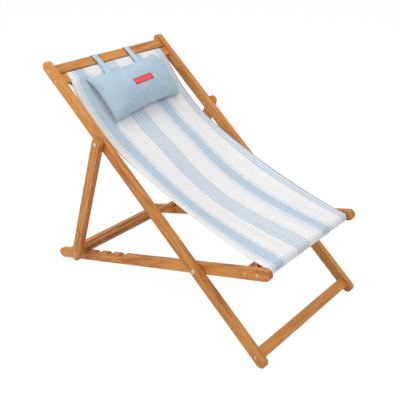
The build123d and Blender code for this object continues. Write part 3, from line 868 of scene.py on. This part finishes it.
def strap_piece(name, node):
    """The side line carried across the strap's width."""
    low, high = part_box(node)
    centre = (low.x + high.x) / 2 + STRAP_SHIFT
    line, along = strap_line(centre)
    across = np.linspace(-STRAP_W / 2, STRAP_W / 2, STRAP_COLUMNS)
    grid = np.empty((len(line), len(across), 3))
    grid[..., 0] = centre + across
    grid[..., 1:] = line[:, None]
    strap = grid_mesh(name, grid, np.stack(np.broadcast_arrays(across, along[:, None]), axis=-1))
    strap.data.materials.append(strap_canvas)
    thicken(strap, "strap_thickness", STRAP_T)
    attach(strap, "back_frame")
    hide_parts(node)


strap_canvas = cloth_surface("strap_canvas", plain_pale_blue, PILLOW_THREAD, strap_seams)
for side in ("left", "right"):
    strap_piece("strap_" + side, "pillow_strap_" + side)


# Sewn tab on the pillow.
# A small plain red woven patch with a darker turned-in border, stitched flat to the upper panel.
TAB_LOW, TAB_HIGH = (-0.046, -0.0120), (0.047, 0.0160)
TAB_ABOVE, TAB_T = 0.0010, 0.0006
TAB_BORDER, TAB_EDGE = 0.0035, 0.0006       # width of the border, and softness of its inner edge
TAB_COLUMNS, TAB_ROWS = 45, 15
TAB_THREAD, TAB_PATCH, TAB_DYE = 0.0008, 60, (0.94, 1.04)
TAB_RED = (0.90, 0.10, 0.095)
TAB_DARK = (0.55, 0.035, 0.045)


def sewn_tab():
    """A grid on the pillow's upper panel, blended from its four nearest points and lifted off it."""
    across = np.linspace(TAB_LOW[0], TAB_HIGH[0], TAB_COLUMNS)
    along = np.linspace(TAB_LOW[1], TAB_HIGH[1], TAB_ROWS)
    across, along = np.meshgrid(across, along, indexing="ij")
    rows, columns = panel_shape
    panel = pillow_shape[:rows * columns].reshape(rows, columns, 3)
    row = (along / PILLOW_H + 0.5) * (rows - 1)
    column = (across / PILLOW_L + 0.5) * (columns - 1)
    near_row, near_column = row.astype(int), column.astype(int)
    up, over = (row - near_row)[..., None], (column - near_column)[..., None]
    low = panel[near_row, near_column] * (1 - over) + panel[near_row, near_column + 1] * over
    high = panel[near_row + 1, near_column] * (1 - over) + panel[near_row + 1, near_column + 1] * over
    grid = low * (1 - up) + high * up
    normal = np.cross(np.gradient(grid, axis=0), np.gradient(grid, axis=1))
    grid += TAB_ABOVE * normal / np.linalg.norm(normal, axis=-1, keepdims=True)
    tab = grid_mesh("pillow_tab", grid, np.stack([across, along], axis=-1))
    thicken(tab, "tab_thickness", TAB_T)
    return tab


def from_tab_edge(tree, place):
    """Distance of a place on the tab from its nearest edge."""
    parts = add(tree, "SeparateXYZ", {0: place})
    sides = []
    for number in (0, 1):
        centre, half = (TAB_HIGH[number] + TAB_LOW[number]) / 2, (TAB_HIGH[number] - TAB_LOW[number]) / 2
        away = math_node(tree, "ABSOLUTE", math_node(tree, "SUBTRACT", parts.outputs[number], centre))
        sides.append(math_node(tree, "SUBTRACT", half, away))
    return math_node(tree, "MINIMUM", *sides)


def plain_red(tree, place):
    """The tab's red, darker in the border."""
    inward = from_tab_edge(tree, place)
    border = smooth_step(tree, inward, TAB_BORDER - TAB_EDGE, TAB_BORDER + TAB_EDGE, 1.0, 0.0)
    return dyed(tree, place, mix_colour(tree, border, TAB_RED, TAB_DARK), TAB_PATCH, *TAB_DYE)


tab = sewn_tab()
tab.data.materials.append(cloth_surface("red_tab", plain_red, TAB_THREAD))
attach(tab, "back_frame")


# Floor, light and camera.
# A plain white studio floor that keeps a soft shadow, an even sky and three large soft lamps.
# The camera stands where the photograph was taken from.
FLOOR_HALF = 30.0
FLOOR_ALBEDO = 0.65
FLOOR_GLOW, FLOOR_GLOW_SHARE = 1.13, 0.82
SKY_STRENGTH = 0.52
LENS, SENSOR = 58.76, 36.0
# From the seat pivot: across, along the back rails and square to them
CAMERA_SPOT = (-1.61846, -0.16009, 1.62270)
TARGET_SPOT = (-0.14850, 0.18036, 0.08034)
CAMERA_ROLL = 0.00432
LAMPS = {                   # place in metres and power in watts
    "left_lamp": ((-2.7, 0.9, 2.4), 54.0),
    "top_lamp": ((0.8, 0.4, 3.5), 15.5),
    "front_lamp": ((0.0, -2.2, 3.0), 32.0),
}
LAMP_SIZE, LAMP_TARGET = 2.0, (0, 0, 0.35)


def seen_directly(tree):
    """1 for rays that show the background: from the camera, a mirror or glass."""
    path = tree.nodes.new("ShaderNodeLightPath")
    seen = math_node(tree, "MAXIMUM", path.outputs["Is Camera Ray"], path.outputs["Is Glossy Ray"])
    return math_node(tree, "MAXIMUM", seen, path.outputs["Is Transmission Ray"])


def studio_floor():
    """A wide white plane: part glow, part matt paint, so that it is white but keeps shadows."""
    corner = np.array([-FLOOR_HALF, FLOOR_HALF])
    grid = np.stack([*np.meshgrid(corner, corner, indexing="ij"), np.zeros((2, 2))], axis=-1)
    floor = grid_mesh("studio_floor", grid[:, ::-1])
    material, tree, shader = new_surface("studio_floor")
    shader.inputs["Base Color"].default_value = (FLOOR_ALBEDO, FLOOR_ALBEDO, FLOOR_ALBEDO, 1)
    shader.inputs["Roughness"].default_value = 1.0
    shader.inputs["Specular IOR Level"].default_value = 0.0
    glow = add(tree, "Emission", {"Color": (1, 1, 1, 1), "Strength": FLOOR_GLOW})
    share = math_node(tree, "MULTIPLY", seen_directly(tree), FLOOR_GLOW_SHARE)
    both = add(tree, "MixShader", {0: share, 1: shader.outputs[0], 2: glow.outputs[0]})
    tree.links.new(both.outputs[0], tree.nodes["Material Output"].inputs["Surface"])
    floor.data.materials.append(material)


def even_sky():
    """White where it shows, and a plain level of light on the chair."""
    world = bpy.data.worlds.new("even_sky")
    world.use_nodes = True
    tree = world.node_tree
    tree.nodes.clear()
    output = tree.nodes.new("ShaderNodeOutputWorld")
    level = smooth_step(tree, seen_directly(tree), 0.0, 1.0, SKY_STRENGTH, 1.0)
    background = add(tree, "Background", {"Color": (1, 1, 1, 1), "Strength": level})
    tree.links.new(background.outputs[0], output.inputs["Surface"])
    bpy.context.scene.world = world


def aim(thing, place, target, roll=0.0):
    """Put a lamp or camera in place, looking at a target."""
    thing.location = place
    look = (Vector(target) - Vector(place)).to_track_quat("-Z", "Y")
    thing.rotation_euler = (look @ Quaternion((0, 0, 1), roll)).to_euler()
    bpy.context.scene.collection.objects.link(thing)


def chair_spot(across, along, off):
    """A place measured from the seat pivot, along and square to the back rails."""
    return Vector((across, *(seat_pivot + along * up_back + off * off_back)))


studio_floor()
even_sky()
for name, (place, power) in LAMPS.items():
    lamp = bpy.data.lights.new(name, "AREA")
    lamp.size = LAMP_SIZE
    lamp.energy = power
    aim(bpy.data.objects.new(name, lamp), place, LAMP_TARGET)
camera_data = bpy.data.cameras.new("camera")
camera_data.lens = LENS
camera_data.sensor_width = SENSOR
camera = bpy.data.objects.new("camera", camera_data)
aim(camera, chair_spot(*CAMERA_SPOT), chair_spot(*TARGET_SPOT), CAMERA_ROLL)
bpy.context.scene.camera = camera
bpy.context.scene.view_settings.view_transform = "Standard"
